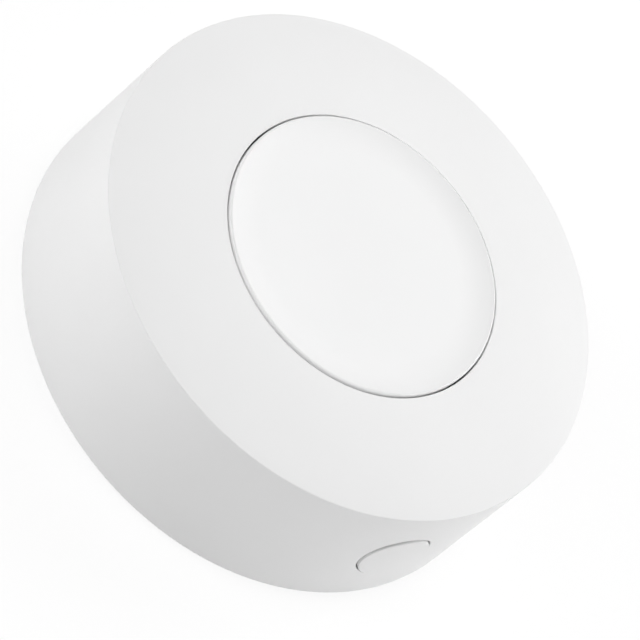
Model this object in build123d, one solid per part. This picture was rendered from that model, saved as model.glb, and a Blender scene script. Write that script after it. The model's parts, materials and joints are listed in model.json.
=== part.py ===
"""Round wireless push button, as it comes apart on a bench.

A domed housing holds a dished push cap, a side key, a circuit board with two switches and a coin cell in a
chassis, and it turns onto a rear plate that sticks to a wall.

Millimetres. +Z is the push axis and points out of the front, the side key faces -Y, and the origin is the
centre of the rear face that sticks to the wall. Radii grow outwards from the cell and heights grow forwards
from the wall, so the outer size follows from what the button holds.
"""
from build123d import *
import math
import os

os.makedirs("parts", exist_ok=True)

cut_overrun = 1.0

# Rear plate, its foam tape and its rubber ring
pad_thickness = 0.8
pad_recess_depth = 0.4
pad_outer_radius = 15.5
pad_inner_radius = 8.0
pad_recess_clearance = 0.1
plate_thickness = 1.2
plate_gap = 0.2
plate_edge_chamfer = 0.2
coin_slot_length = 12.0
coin_slot_width = 1.8
coin_slot_depth = 0.7
plate_collar_thickness = 1.0
seal_section = 1.15
seal_clearance = 0.05
collar_over_seal = 0.05

# Twist lock: lugs on the plate, keepers and stops in the housing
lug_count = 3
first_lug_angle = 90.0
lug_half_sweep = 7.0
keeper_open_sweep = 11.0
stop_sweep = 1.6
stop_play_angle = 0.4
twist_angle = 20.0
lug_thickness = 0.8
lug_edge_gap = 0.3
keeper_thickness = 0.8
keeper_gap = 0.15
keeper_radial_gap = 0.25
seal_to_keeper = 0.15

# Coin cell and the foam behind it
foam_radius = 6.0
foam_thickness = 0.6
foam_clearance = 0.1
cell_radius = 12.25
cell_height = 5.0
cell_corner_chamfer = 0.4
crimp_width = 0.9
cell_cap_rise = 0.15

# Chassis
cell_play = 0.2
chassis_wall = 0.9
chassis_to_plate = 0.35
cell_snap_reach = 0.35
cell_snap_play = 0.05
cell_snap_sweep = 20.0
cell_snap_count = 3
first_cell_snap_angle = 150.0
chassis_lip_width = 0.85
chassis_lip_gap = 0.1
chassis_flange_thickness = 0.8
gusset_count = 6
first_gusset_angle = 0.0
gusset_thickness = 0.8
gusset_depth = 1.8
gusset_width = 1.8
finger_notch_sweep = 46.0
finger_notch_angle = 67.0
finger_notch_height = 2.6

# Circuit board and its screws
cell_to_board = 1.0
board_thickness = 1.0
board_edge_gap = 1.4
board_hole_gap = 0.2
screw_count = 3
first_screw_angle = 90.0
screw_radius = 0.8
screw_head_radius = 1.5
screw_head_height = 1.0
screw_head_gap = 0.575
screw_bite = 2.2
screw_thread_gap = 0.05
screw_end_gap = 0.3
screw_slot_width = 0.4
screw_slot_depth = 0.45

# Side switch, which hangs under the board behind the key
switch_to_chassis = 0.25
side_body_width = 4.6
side_body_depth = 2.6
side_body_height = 3.3
side_axis_drop = 1.74
side_plunger_width = 2.0
side_plunger_height = 1.1
side_plunger_left = 0.65
side_plunger_inside = 1.3
side_guide_gap = 0.05
side_dome_flat = 0.3
side_dome_radius = 0.45
side_dome_thickness = 0.1
side_cover_thickness = 0.15
side_ear_depth = 1.1
side_ear_drop = 1.6
side_lead_width = 0.8
side_lead_length = 0.7
side_lead_inset = 0.5

# Side key
key_travel = 0.25
key_touch_gap = 0.05
key_stem_radius = 1.2
key_stem_length = 0.45
key_radius = 2.62
key_gap = 0.13
key_proud = 0.12
key_flange_lip = 0.5
key_flange_thickness = 0.65
key_flange_gap = 0.15

# Main switch
main_body_width = 6.0
main_dome_flat = 0.5
main_body_corner = 0.4
main_floor = 0.4
main_cavity_radius = 2.5
main_cover_width = 5.8
main_cover_thickness = 0.25
main_hole_radius = 1.8
main_stake_width = 0.6
main_stake_height = 0.15
main_stake_inset = 0.75
main_plunger_radius = 1.7
main_plunger_flange_radius = 2.2
main_plunger_flange = 0.45
main_plunger_left = 0.35
main_plunger_chamfer = 0.2
plunger_flange_gap = 0.05
main_dome_radius = 2.3
dome_top_share = 0.35
main_dome_thickness = 0.1
dome_touch_gap = 0.03
lead_thickness = 0.2
main_lead_width = 0.7
main_lead_height = 0.6
main_lead_shoulder = 0.3
main_lead_slope = 0.2
main_lead_foot = 0.6
main_lead_offset = 2.2

# Push cap
press_travel = 0.3
press_touch_gap = 0.05
post_radius = 1.5
post_length = 0.48
cap_thickness = 1.35
cap_rib_count = 6
cap_rib_thickness = 0.7
cap_rib_depth = 0.5
dish_depth = 0.4
dish_edge_width = 2.56
dish_pieces = 2
cap_radius = 10.98
cap_gap = 0.13
cap_edge_chamfer = 0.1
rim_rise = 0.1
skirt_thickness = 0.9
hook_count = 3
first_hook_angle = 30.0
hook_sweep = 16.0
hook_slot_sweep = 4.0
hook_slot_over = 0.5
hook_reach = 0.65
hook_height = 0.65
hook_lead = 0.35
hook_gap = 0.05

# Housing
wall_thickness = 1.6
wall_lean_width = 0.1
rear_edge_chamfer = 0.2
crease_chamfer = 0.12
crown_rise = 1.36
crown_inner_slope = 4.0
crown_pieces = 3
roof_thickness = 1.6
collar_thickness = 1.3
boss_radius = 1.8
boss_rib_thickness = 0.9
boss_rib_setback = 0.6

# Silicone ring under the cap's skirt
ring_foot_width = 1.5
ring_lip_thickness = 0.4
ring_lip_inset = 0.5
ring_pressed_height = 0.52
ring_gap = 0.05

# Contacts of the coin cell
strip_thickness = 0.2
contact_touch_gap = 0.02
positive_width = 3.0
positive_foot = 2.2
positive_set_off = 0.65
positive_drop = 3.6
positive_bend = 0.7
positive_tail = 0.7
positive_tail_lift = 0.25
positive_window_gap = 0.3
negative_arm_count = 3
negative_arm_width = 1.6
negative_disc_radius = 2.4
negative_foot_radius = 8.6
negative_foot = 1.4

# Chips and small parts on the board
chip_width = 3.5
chip_height = 0.8
chip_gap = 0.6
crystal_length = 2.5
crystal_width = 2.0
crystal_height = 0.6
crystal_gap = 0.9
crystal_angle = 125.0
passive_length = 1.0
passive_width = 0.5
capacitor_height = 0.5
resistor_height = 0.35
passive_gap = 0.7
capacitor_count = 6
first_capacitor_angle = 30.0
capacitor_step_angle = 14.0
resistor_count = 4
first_resistor_angle = 185.0
resistor_step_angle = 16.0
led_length = 1.6
led_width = 0.8
led_height = 0.5
led_lens_height = 0.3
led_lens_length = 1.0
led_angle = 270.0
antenna_angle = 150.0
antenna_edge_gap = 1.0
antenna_turns = 4
antenna_pitch = 1.6
antenna_reach = 1.8
antenna_line = 0.5
copper_thickness = 0.05

# Radii worked out from the cell outwards
pocket_radius = cell_radius + cell_play
pocket_outer_radius = pocket_radius + chassis_wall
side_body_rear = pocket_outer_radius + switch_to_chassis
side_body_face = side_body_rear + side_body_depth
side_plunger_tip = side_body_face + side_plunger_left + key_travel
side_cavity_end = side_body_face - side_plunger_inside - key_travel - side_dome_flat
key_stem_tip = side_plunger_tip + key_touch_gap
key_flange_inner = key_stem_tip + key_stem_length
key_flange_outer = key_flange_inner + key_flange_thickness
bore_radius = key_flange_outer + key_flange_gap
body_radius = bore_radius + wall_thickness
crease_radius = body_radius - wall_lean_width
wall_middle_radius = (bore_radius + body_radius) / 2
plate_radius = bore_radius - plate_gap
plate_collar_outer = bore_radius - seal_section - 2 * seal_clearance
plate_collar_inner = plate_collar_outer - plate_collar_thickness
lug_radius = bore_radius - lug_edge_gap
keeper_radius = plate_collar_outer + keeper_radial_gap
bezel_radius = cap_radius + cap_gap
collar_radius = bezel_radius + collar_thickness
skirt_inner_radius = cap_radius - skirt_thickness
hook_radius = cap_radius + hook_reach
dish_flat_radius = cap_radius - dish_edge_width
boss_centre_radius = pocket_outer_radius + screw_head_gap + screw_head_radius
board_radius = bore_radius - board_edge_gap
cell_cap_radius = cell_radius - crimp_width
key_flange_radius = key_radius + key_flange_lip
ring_middle_radius = (skirt_inner_radius + cap_radius) / 2
ring_foot_inner_radius = ring_middle_radius - ring_foot_width / 2
ring_foot_outer_radius = ring_middle_radius + ring_foot_width / 2
chip_centre_radius = ring_foot_inner_radius - chip_gap - chip_width / 2
crystal_centre_radius = ring_foot_inner_radius - crystal_gap - crystal_length / 2
passive_ring_radius = ring_foot_inner_radius - passive_gap - passive_width / 2
antenna_inner_radius = board_radius - antenna_edge_gap - antenna_reach

# Heights worked out from the wall forwards
rear_level = pad_thickness - pad_recess_depth
plate_level = rear_level + plate_thickness
collar_level = plate_level + seal_section + collar_over_seal
keeper_rear_level = collar_level + seal_to_keeper
keeper_front_level = keeper_rear_level + keeper_thickness
lug_rear_level = keeper_front_level + keeper_gap
lug_front_level = lug_rear_level + lug_thickness
foam_level = plate_level + foam_thickness
cell_rear_level = foam_level + foam_clearance
cell_front_level = cell_rear_level + cell_height
can_front_level = cell_front_level - cell_cap_rise
chassis_rear_level = plate_level + chassis_to_plate
board_rear_level = cell_front_level + cell_to_board
board_front_level = board_rear_level + board_thickness
flange_rear_level = board_rear_level - chassis_flange_thickness
key_level = board_rear_level - side_axis_drop
main_floor_level = board_front_level + main_floor
main_flange_rear_level = main_floor_level + main_dome_flat + press_travel
main_flange_front_level = main_flange_rear_level + main_plunger_flange
main_body_level = main_flange_front_level + plunger_flange_gap
main_cover_level = main_body_level + main_cover_thickness
main_plunger_level = main_cover_level + main_plunger_left + press_travel
post_level = main_plunger_level + press_touch_gap
cap_under_level = post_level + post_length
dish_level = cap_under_level + cap_thickness
rim_level = dish_level + dish_depth
bezel_level = rim_level - rim_rise
crease_level = bezel_level - crown_rise
wall_height = crease_level - rear_level
roof_inner_level = bezel_level - roof_thickness
roof_outer_level = crease_level - roof_thickness
ring_level = board_front_level + ring_pressed_height + press_travel
skirt_bottom_level = ring_level + ring_gap
hook_top_level = skirt_bottom_level + hook_height
collar_bottom_level = hook_top_level + hook_gap


def cylinder(radius, bottom, top):
    """Upright cylinder on the push axis between two heights."""
    return Pos(0, 0, bottom) * Cylinder(radius, top - bottom, align=(Align.CENTER, Align.CENTER, Align.MIN))


def ring(inner, outer, bottom, top):
    """Flat ring on the push axis between two heights."""
    return cylinder(outer, bottom, top) - cylinder(inner, bottom, top)


def block(width, depth, bottom, top, x=0, y=0):
    """Upright box centred on a point, between two heights."""
    box = Box(width, depth, top - bottom, align=(Align.CENTER, Align.CENTER, Align.MIN))
    return Pos(x, y, bottom) * box


def chamfered(face, *corners):
    """Chamfer the corners of a flat face. Each corner is its two coordinates and its cut."""
    for across, up, cut in corners:
        nearest = face.vertices().sort_by_distance((across, up))[0]
        face = chamfer(nearest, cut)
    return face


def straightened(curve, pieces):
    """Points of a curve that straight lines join, which keeps the turned faces light."""
    return [curve @ (piece / pieces) for piece in range(pieces + 1)]


def turned(face, sweep=360.0):
    """Revolve a face drawn in radius and height about the push axis."""
    return revolve(Plane.XZ * face, Axis.Z, sweep)


def sector(inner, outer, bottom, top, start, sweep):
    """Piece of a flat ring from a start angle through a sweep."""
    section = Pos(inner, bottom) * Rectangle(outer - inner, top - bottom, align=(Align.MIN, Align.MIN))
    return Rot(0, 0, start) * turned(section, sweep)


def sideways(radius, near, far, level):
    """Cylinder along -Y between two distances from the push axis, at one height."""
    rod = Cylinder(radius, far - near, align=(Align.CENTER, Align.CENTER, Align.MIN))
    return Pos(0, -near, level) * Rot(90, 0, 0) * rod


def spread(count, first):
    """Angles of evenly spread copies."""
    return [first + 360.0 * index / count for index in range(count)]


def around(shape, count, first):
    """Copies of a shape about the push axis."""
    return [Rot(0, 0, angle) * shape for angle in spread(count, first)]


def formed_strip(points, width):
    """Sheet-metal strip: a path in radius and height, given its thickness and width."""
    section = trace(Polyline(*points), line_width=strip_thickness)
    return extrude(Plane.XZ * section, amount=width / 2, both=True)


def front_housing():
    """Moulded shell: domed bezel, leaning wall, guide collar, screw bosses, keepers and stops."""
    slope = math.radians(crown_inner_slope)
    crown = TangentArc(
        (bezel_radius, bezel_level),
        (crease_radius, crease_level),
        tangent=(math.cos(slope), -math.sin(slope)),
    )
    outline = Polyline(
        *straightened(crown, crown_pieces),
        (body_radius, rear_level),
        (bore_radius, rear_level),
        (bore_radius, roof_outer_level),
        (collar_radius, roof_inner_level),
        (collar_radius, collar_bottom_level),
        (bezel_radius, collar_bottom_level),
        (bezel_radius, bezel_level),
    )
    section = chamfered(
        make_face(outline),
        (crease_radius, crease_level, crease_chamfer),
        (body_radius, rear_level, rear_edge_chamfer),
    )
    shell = turned(section)
    boss = Pos(boss_centre_radius, 0) * cylinder(boss_radius, board_front_level, roof_inner_level)
    rib = block(
        wall_middle_radius - boss_centre_radius,
        boss_rib_thickness,
        board_front_level + boss_rib_setback,
        roof_outer_level + roof_thickness / 2,
        x=(wall_middle_radius + boss_centre_radius) / 2,
    )
    pilot_radius = screw_radius + screw_thread_gap
    pilot_end = board_front_level + screw_bite + screw_end_gap
    pilot = Pos(boss_centre_radius, 0) * cylinder(pilot_radius, board_front_level, pilot_end)
    shell += around(boss + rib, screw_count, first_screw_angle)
    shell -= around(pilot, screw_count, first_screw_angle)
    inner, outer = keeper_radius, wall_middle_radius
    bottom, top = keeper_rear_level, keeper_front_level
    lock_offset = lug_half_sweep + stop_play_angle
    open_offset = twist_angle + lug_half_sweep + stop_play_angle + stop_sweep
    keeper_sweep = keeper_open_sweep + lock_offset + stop_sweep
    for angle in spread(lug_count, first_lug_angle):
        shell += sector(inner, outer, bottom, top, angle - keeper_open_sweep, keeper_sweep)
        for start in (angle + lock_offset, angle - open_offset):
            shell += sector(inner, outer, bottom, lug_front_level, start, stop_sweep)
    hole = sideways(key_radius + key_gap, bore_radius - cut_overrun, body_radius + cut_overrun, key_level)
    return shell - hole


def button_cap():
    """Dished cap with skirt, centre post, ribs and snap hooks between slots."""
    dish = TangentArc((dish_flat_radius, dish_level), (cap_radius, rim_level), tangent=(1, 0))
    outline = Polyline(
        *straightened(dish, dish_pieces),
        (cap_radius, skirt_bottom_level),
        (skirt_inner_radius, skirt_bottom_level),
        (skirt_inner_radius, cap_under_level),
        (0, cap_under_level),
        (0, dish_level),
        (dish_flat_radius, dish_level),
    )
    cap = turned(chamfered(make_face(outline), (cap_radius, rim_level, cap_edge_chamfer)))
    roof_middle_level = dish_level - cap_thickness / 2
    post = cylinder(post_radius, post_level, roof_middle_level)
    rib_reach = (skirt_inner_radius + cap_radius) / 2
    rib_level = cap_under_level - cap_rib_depth
    rib = block(rib_reach, cap_rib_thickness, rib_level, roof_middle_level, x=rib_reach / 2)
    cap += [post] + around(rib, cap_rib_count, first_hook_angle + 180.0 / cap_rib_count)
    hook = make_face(
        Polyline(
            (skirt_inner_radius, skirt_bottom_level),
            (cap_radius, skirt_bottom_level),
            (hook_radius, skirt_bottom_level + hook_lead),
            (hook_radius, hook_top_level),
            (skirt_inner_radius, hook_top_level),
            (skirt_inner_radius, skirt_bottom_level),
        )
    )
    inner, outer = skirt_inner_radius - cut_overrun, cap_radius + cut_overrun
    bottom, top = skirt_bottom_level - cut_overrun, hook_top_level + hook_slot_over
    for angle in spread(hook_count, first_hook_angle):
        hook_start = angle - hook_sweep / 2
        hook_end = angle + hook_sweep / 2
        cap += Rot(0, 0, hook_start) * turned(hook, hook_sweep)
        for start in (hook_start - hook_slot_sweep, hook_end):
            cap -= sector(inner, outer, bottom, top, start, hook_slot_sweep)
    return cap


def pairing_key():
    """Round side key: a face that follows the wall, a flange inside the bore and a stem."""
    wall_at_key = body_radius - wall_lean_width * (key_level - rear_level) / wall_height
    face_radius = wall_at_key + key_proud
    barrel = sideways(key_radius, key_flange_inner, body_radius + cut_overrun, key_level)
    barrel &= cylinder(face_radius, key_level - key_flange_radius, key_level + key_flange_radius)
    flange = sideways(key_flange_radius, 0, body_radius, key_level)
    flange &= ring(
        key_flange_inner, key_flange_outer, key_level - key_flange_radius, key_level + key_flange_radius
    )
    stem = sideways(key_stem_radius, key_stem_tip, key_flange_outer, key_level)
    return barrel + flange + stem


def base_plate():
    """Rear plate: recess for the tape, collar for the rubber ring, lugs on tabs and a coin slot."""
    section = chamfered(
        make_face(
            Polyline(
                (0, rear_level),
                (plate_radius, rear_level),
                (plate_radius, plate_level),
                (plate_collar_outer, plate_level),
                (plate_collar_outer, collar_level),
                (plate_collar_inner, collar_level),
                (plate_collar_inner, plate_level),
                (0, plate_level),
                (0, rear_level),
            )
        ),
        (plate_radius, rear_level, plate_edge_chamfer),
    )
    plate = turned(section)
    plate -= ring(
        pad_inner_radius - pad_recess_clearance,
        pad_outer_radius + pad_recess_clearance,
        rear_level - cut_overrun,
        rear_level + pad_recess_depth,
    )
    slot = Box(coin_slot_length, coin_slot_width, coin_slot_depth + cut_overrun)
    plate -= Pos(0, 0, rear_level + (coin_slot_depth - cut_overrun) / 2) * slot
    for angle in spread(lug_count, first_lug_angle):
        start = angle - lug_half_sweep
        sweep = 2 * lug_half_sweep
        plate += sector(plate_collar_inner, plate_collar_outer, plate_level, lug_front_level, start, sweep)
        plate += sector(plate_collar_inner, lug_radius, lug_rear_level, lug_front_level, start, sweep)
    return plate


def adhesive_pad():
    """Ring of foam tape, sunk part of its thickness into the plate."""
    return ring(pad_inner_radius, pad_outer_radius, 0, pad_thickness)


def base_seal():
    """Square-cut rubber ring on the plate, round the collar."""
    inner = plate_collar_outer + seal_clearance
    return ring(inner, inner + seal_section, plate_level, plate_level + seal_section)


def battery_foam_pad():
    """Round foam pad on the plate, behind the coin cell."""
    return cylinder(foam_radius, plate_level, foam_level)


def coin_cell():
    """Coin cell: steel can with the negative cap proud in the middle of its front."""
    section = chamfered(
        make_face(
            Polyline(
                (0, cell_rear_level),
                (cell_radius, cell_rear_level),
                (cell_radius, can_front_level),
                (cell_cap_radius, can_front_level),
                (cell_cap_radius, cell_front_level),
                (0, cell_front_level),
                (0, cell_rear_level),
            )
        ),
        (cell_radius, cell_rear_level, cell_corner_chamfer),
    )
    return turned(section)


def chassis():
    """Battery holder and mid frame: pocket, lip, flange for the board, snaps, gussets and cut-outs."""
    frame = ring(pocket_radius, pocket_outer_radius, chassis_rear_level, board_rear_level)
    lip_level = cell_front_level + chassis_lip_gap
    frame += ring(pocket_radius - chassis_lip_width, pocket_outer_radius, lip_level, board_rear_level)
    frame += ring(pocket_radius, board_radius, flange_rear_level, board_rear_level)
    snap = sector(
        cell_radius - cell_snap_reach,
        pocket_outer_radius,
        chassis_rear_level,
        cell_rear_level - cell_snap_play,
        -cell_snap_sweep / 2,
        cell_snap_sweep,
    )
    gusset_face = make_face(
        Polyline(
            (pocket_radius, flange_rear_level),
            (pocket_outer_radius + gusset_width, flange_rear_level),
            (pocket_outer_radius, flange_rear_level - gusset_depth),
            (pocket_radius, flange_rear_level - gusset_depth),
            (pocket_radius, flange_rear_level),
        )
    )
    gusset = extrude(Plane.XZ * gusset_face, amount=gusset_thickness / 2, both=True)
    frame += around(snap, cell_snap_count, first_cell_snap_angle)
    frame += around(gusset, gusset_count, first_gusset_angle)
    notch_start = finger_notch_angle - finger_notch_sweep / 2
    frame -= sector(
        cell_radius - cut_overrun,
        pocket_outer_radius + cut_overrun,
        chassis_rear_level - cut_overrun,
        chassis_rear_level + finger_notch_height,
        notch_start,
        finger_notch_sweep,
    )
    hole = Pos(boss_centre_radius, 0) * cylinder(
        screw_radius + board_hole_gap, flange_rear_level - cut_overrun, board_rear_level + cut_overrun
    )
    frame -= around(hole, screw_count, first_screw_angle)
    window_reach = pocket_radius + positive_set_off + positive_foot + positive_window_gap
    window_inner = pocket_radius - chassis_lip_width - cut_overrun
    frame -= block(
        window_reach - window_inner,
        positive_width + 2 * positive_window_gap,
        chassis_rear_level + chassis_wall,
        board_rear_level + cut_overrun,
        x=(window_reach + window_inner) / 2,
    )
    switch_width = side_body_width + 2 * (side_lead_length + switch_to_chassis)
    switch_depth = board_radius - pocket_outer_radius + cut_overrun
    frame -= block(
        switch_width,
        switch_depth,
        flange_rear_level - cut_overrun,
        board_rear_level + cut_overrun,
        y=-pocket_outer_radius - switch_depth / 2,
    )
    return frame


def chassis_screws():
    """Three pan-head screws up through chassis and board into the housing's bosses."""
    shank = cylinder(screw_radius, flange_rear_level, board_front_level + screw_bite)
    head = cylinder(screw_head_radius, flange_rear_level - screw_head_height, flange_rear_level)
    screw = shank + head
    slot_front = flange_rear_level - screw_head_height + screw_slot_depth
    slot_rear = flange_rear_level - screw_head_height - cut_overrun
    screw -= block(screw_head_radius, screw_slot_width, slot_rear, slot_front)
    screw -= block(screw_slot_width, screw_head_radius, slot_rear, slot_front)
    return Compound(children=around(Pos(boss_centre_radius, 0) * screw, screw_count, first_screw_angle))


def circuit_board():
    """Round board with its screw holes."""
    board = cylinder(board_radius, board_rear_level, board_front_level)
    hole = Pos(boss_centre_radius, 0) * cylinder(
        screw_radius + board_hole_gap, board_rear_level - cut_overrun, board_front_level + cut_overrun
    )
    return board - around(hole, screw_count, first_screw_angle)


def main_switch_body():
    """Moulded case of the main switch with its round well."""
    case = block(main_body_width, main_body_width, board_front_level, main_body_level)
    case = chamfer(case.edges().filter_by(Axis.Z), main_body_corner)
    return case - cylinder(main_cavity_radius, main_floor_level, main_body_level + cut_overrun)


def main_switch_cover():
    """Metal cover with the plunger's hole and four stakes."""
    plate = block(main_cover_width, main_cover_width, main_body_level, main_cover_level)
    plate -= cylinder(main_hole_radius, main_body_level - cut_overrun, main_cover_level + cut_overrun)
    stake_place = main_cover_width / 2 - main_stake_inset
    stake_level = main_cover_level + main_stake_height
    for x in (-stake_place, stake_place):
        for y in (-stake_place, stake_place):
            plate += block(main_stake_width, main_stake_width, main_body_level, stake_level, x=x, y=y)
    return plate


def main_switch_plunger():
    """Round plunger with the flange that the cover holds in."""
    stud = cylinder(main_plunger_radius, main_flange_rear_level, main_plunger_level)
    stud = chamfer(stud.edges().sort_by(Axis.Z)[-1], main_plunger_chamfer)
    return stud + cylinder(main_plunger_flange_radius, main_flange_rear_level, main_flange_front_level)


def snap_disc(radius, rise, thickness):
    """Thin snap disc: flat top at the rise, straight sides, and its rim on height zero."""
    top_radius = radius * dome_top_share
    drop = rise - thickness
    outline = Polyline(
        (0, rise),
        (top_radius, rise),
        (radius, thickness),
        (radius, 0),
        (top_radius, drop),
        (0, drop),
        (0, rise),
    )
    return turned(make_face(outline))


def main_switch_dome():
    """Snap dome on the floor of the main switch, under the plunger."""
    rise = main_flange_rear_level - dome_touch_gap - main_floor_level
    return Pos(0, 0, main_floor_level) * snap_disc(main_dome_radius, rise, main_dome_thickness)


def main_switch_terminals():
    """Four gull-wing leads."""
    start = main_body_width / 2
    foot_level = board_front_level + lead_thickness / 2
    path = Polyline(
        (start, board_front_level + main_lead_height),
        (start + main_lead_shoulder, board_front_level + main_lead_height),
        (start + main_lead_shoulder + main_lead_slope, foot_level),
        (start + main_lead_shoulder + main_lead_slope + main_lead_foot, foot_level),
    )
    section = trace(path, line_width=lead_thickness)
    lead = extrude(Plane.XZ * section, amount=main_lead_width / 2, both=True)
    pair = [Pos(0, main_lead_offset) * lead, Pos(0, -main_lead_offset) * lead]
    return Compound(children=pair + [Rot(0, 0, 180) * one for one in pair])


def side_opening(near, far, gap=0):
    """Slot-shaped bar along -Y on the key's axis, larger than the side plunger by a gap."""
    outline = SlotOverall(side_plunger_width + 2 * gap, side_plunger_height + 2 * gap)
    bar = extrude(outline, amount=far - near)
    return Pos(0, -near, key_level) * Rot(90, 0, 0) * bar


def side_switch_body():
    """Moulded case of the side switch, hung under the board."""
    bottom = board_rear_level - side_body_height
    middle = -(side_body_rear + side_body_face) / 2
    case = block(side_body_width, side_body_depth, bottom, board_rear_level, y=middle)
    return case - side_opening(side_cavity_end, side_body_face + cut_overrun, side_guide_gap)


def side_switch_cover():
    """Metal cover over the side switch's face, with two ears along its sides."""
    bottom = board_rear_level - side_body_height
    front_y = -side_body_face - side_cover_thickness / 2
    outer_width = side_body_width + 2 * side_cover_thickness
    cover = block(outer_width, side_cover_thickness, bottom, board_rear_level, y=front_y)
    ear_x = (side_body_width + side_cover_thickness) / 2
    ear_y = -side_body_face + side_ear_depth / 2
    ear_bottom = board_rear_level - side_ear_drop
    for x in (-ear_x, ear_x):
        cover += block(side_cover_thickness, side_ear_depth, ear_bottom, board_rear_level, x=x, y=ear_y)
    return cover - side_opening(side_body_face - cut_overrun, side_body_face + cut_overrun, side_guide_gap)


def side_switch_plunger():
    """Slot-shaped plunger of the side switch."""
    return side_opening(side_body_face - side_plunger_inside, side_plunger_tip)


def side_switch_dome():
    """Small snap dome at the end of the side plunger's way."""
    rise = side_dome_flat + key_travel - dome_touch_gap
    dome = snap_disc(side_dome_radius, rise, side_dome_thickness)
    return Pos(0, -side_cavity_end, key_level) * Rot(90, 0, 0) * dome


def side_switch_terminals():
    """Two flat leads of the side switch against the board."""
    x = (side_body_width + side_lead_length) / 2
    y = -side_body_rear - side_lead_inset
    lead = block(side_lead_length, side_lead_width, board_rear_level - lead_thickness, board_rear_level)
    return Compound(children=[Pos(-x, y) * lead, Pos(x, y) * lead])


def radio_chip():
    """Square radio chip beside the main switch."""
    top = board_front_level + chip_height
    return block(chip_width, chip_width, board_front_level, top, x=chip_centre_radius)


def crystal():
    """Crystal in its metal can."""
    can = block(crystal_length, crystal_width, board_front_level, board_front_level + crystal_height)
    return Rot(0, 0, crystal_angle) * Pos(crystal_centre_radius, 0) * can


def passives(count, first, step_angle, height):
    """Row of small parts along an arc on the board."""
    part = Pos(passive_ring_radius, 0) * block(
        passive_width, passive_length, board_front_level, board_front_level + height
    )
    return Compound(children=[Rot(0, 0, first + step_angle * index) * part for index in range(count)])


def status_led():
    """Small lamp that shines through the cap's thin dish."""
    base = block(led_width, led_length, board_front_level, board_front_level + led_height)
    lens_level = board_front_level + led_height
    lens = block(led_width, led_lens_length, lens_level, lens_level + led_lens_height)
    return Rot(0, 0, led_angle) * Pos(passive_ring_radius, 0) * (base + lens)


def antenna_trace():
    """Copper meander near the board's edge."""
    start = antenna_inner_radius
    points = [(start, -antenna_turns * antenna_pitch / 2)]
    for turn in range(antenna_turns):
        side = start + antenna_reach if turn % 2 == 0 else start
        points.append((side, points[-1][1]))
        points.append((side, points[-1][1] + antenna_pitch))
    line = trace(Polyline(*points), line_width=antenna_line)
    return Rot(0, 0, antenna_angle) * Pos(0, 0, board_front_level) * extrude(line, amount=copper_thickness)


def battery_contact_positive():
    """Sprung strip from the board down to the side of the can."""
    foot_level = board_rear_level - strip_thickness / 2
    hanging = pocket_radius + positive_set_off
    touch = cell_radius + contact_touch_gap + strip_thickness / 2
    points = [
        (hanging + positive_foot, foot_level),
        (hanging, foot_level),
        (hanging, board_rear_level - positive_drop),
        (touch, board_rear_level - positive_drop - positive_bend),
        (touch + positive_tail_lift, board_rear_level - positive_drop - positive_bend - positive_tail),
    ]
    return formed_strip(points, positive_width)


def battery_contact_negative():
    """Three-armed spring from the board down to the middle of the cell's cap."""
    foot_level = board_rear_level - strip_thickness / 2
    touch = cell_front_level + contact_touch_gap + strip_thickness / 2
    arm = formed_strip(
        [
            (negative_foot_radius, foot_level),
            (negative_foot_radius - negative_foot, foot_level),
            (negative_disc_radius, touch),
            (0, touch),
        ],
        negative_arm_width,
    )
    disc = cylinder(negative_disc_radius, touch - strip_thickness / 2, touch + strip_thickness / 2)
    return disc + around(arm, negative_arm_count, first_hook_angle)


def return_ring():
    """Silicone ring on the board: a wide foot that narrows to the lip that lifts the cap's skirt."""
    lip_outer = ring_foot_outer_radius - ring_lip_inset
    section = make_face(
        Polyline(
            (ring_foot_inner_radius, board_front_level),
            (ring_foot_outer_radius, board_front_level),
            (lip_outer, ring_level),
            (lip_outer - ring_lip_thickness, ring_level),
            (ring_foot_inner_radius, board_front_level),
        )
    )
    return turned(section)


pieces = {
    "front_housing": front_housing(),
    "button_cap": button_cap(),
    "pairing_key": pairing_key(),
    "base_plate": base_plate(),
    "adhesive_pad": adhesive_pad(),
    "base_seal": base_seal(),
    "battery_foam_pad": battery_foam_pad(),
    "coin_cell": coin_cell(),
    "chassis": chassis(),
    "chassis_screws": chassis_screws(),
    "circuit_board": circuit_board(),
    "main_switch_body": main_switch_body(),
    "main_switch_cover": main_switch_cover(),
    "main_switch_plunger": main_switch_plunger(),
    "main_switch_dome": main_switch_dome(),
    "main_switch_terminals": main_switch_terminals(),
    "side_switch_body": side_switch_body(),
    "side_switch_cover": side_switch_cover(),
    "side_switch_plunger": side_switch_plunger(),
    "side_switch_dome": side_switch_dome(),
    "side_switch_terminals": side_switch_terminals(),
    "radio_chip": radio_chip(),
    "crystal": crystal(),
    "capacitors": passives(capacitor_count, first_capacitor_angle, capacitor_step_angle, capacitor_height),
    "resistors": passives(resistor_count, first_resistor_angle, resistor_step_angle, resistor_height),
    "status_led": status_led(),
    "antenna_trace": antenna_trace(),
    "battery_contact_positive": battery_contact_positive(),
    "battery_contact_negative": battery_contact_negative(),
    "return_ring": return_ring(),
}
for name, piece in pieces.items():
    export_step(piece, f"parts/{name}.step")
print(f"diameter {2 * body_radius:.2f} mm, wall {wall_height:.2f} mm, height {rim_level:.2f} mm")
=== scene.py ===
"""Look of a round wireless push button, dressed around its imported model.

The moulded shell, the push cap, the side key, the rear plate and the tape are smooth surfaces worked out from
profiles in radius and height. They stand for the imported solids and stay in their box. Metres throughout,
+Z out of the front, -Y towards the side key, and the wall or table at height zero.
"""
import json
import logging
import math
from abc import ABC, abstractmethod
from dataclasses import dataclass, field
from enum import Enum

import bmesh
import bpy
import numpy as np
from mathutils import Matrix, Vector


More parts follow.
